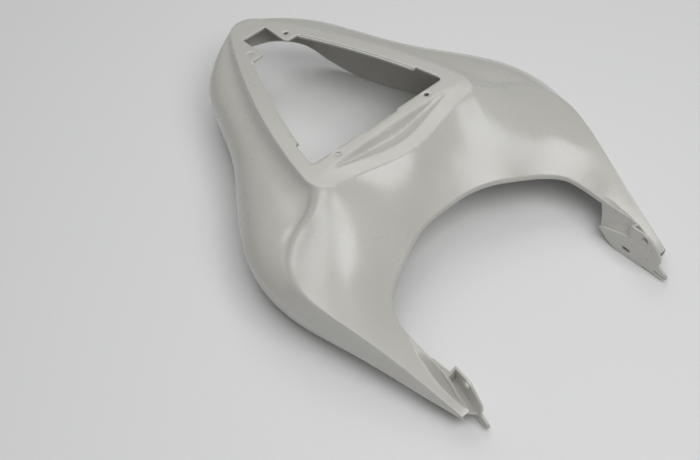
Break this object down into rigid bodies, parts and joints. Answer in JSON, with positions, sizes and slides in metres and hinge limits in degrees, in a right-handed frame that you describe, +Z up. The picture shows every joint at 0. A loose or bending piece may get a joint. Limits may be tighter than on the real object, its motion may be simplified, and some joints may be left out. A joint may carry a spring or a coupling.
{
  "type": "seat cowl",
  "caption": "Moulded motorbike tail cowl with a triangular seat opening, a rider bay between its legs, full side flanks and leg brackets.",
  "frame": {"origin": "middle of the bounding box in plan, on the floor that the cowl lies on", "axes": "+Y towards the rider's end with the two legs, +X to the right, +Z up from the floor"},
  "size_m": [0.468, 0.6448, 0.1255],
  "materials": {
    "unpainted_plastic": "satin, unpainted off-white"
  },
  "bodies": {
    "root": {"seat_cowl": "unpainted_plastic"}
  },
  "joints": []
}
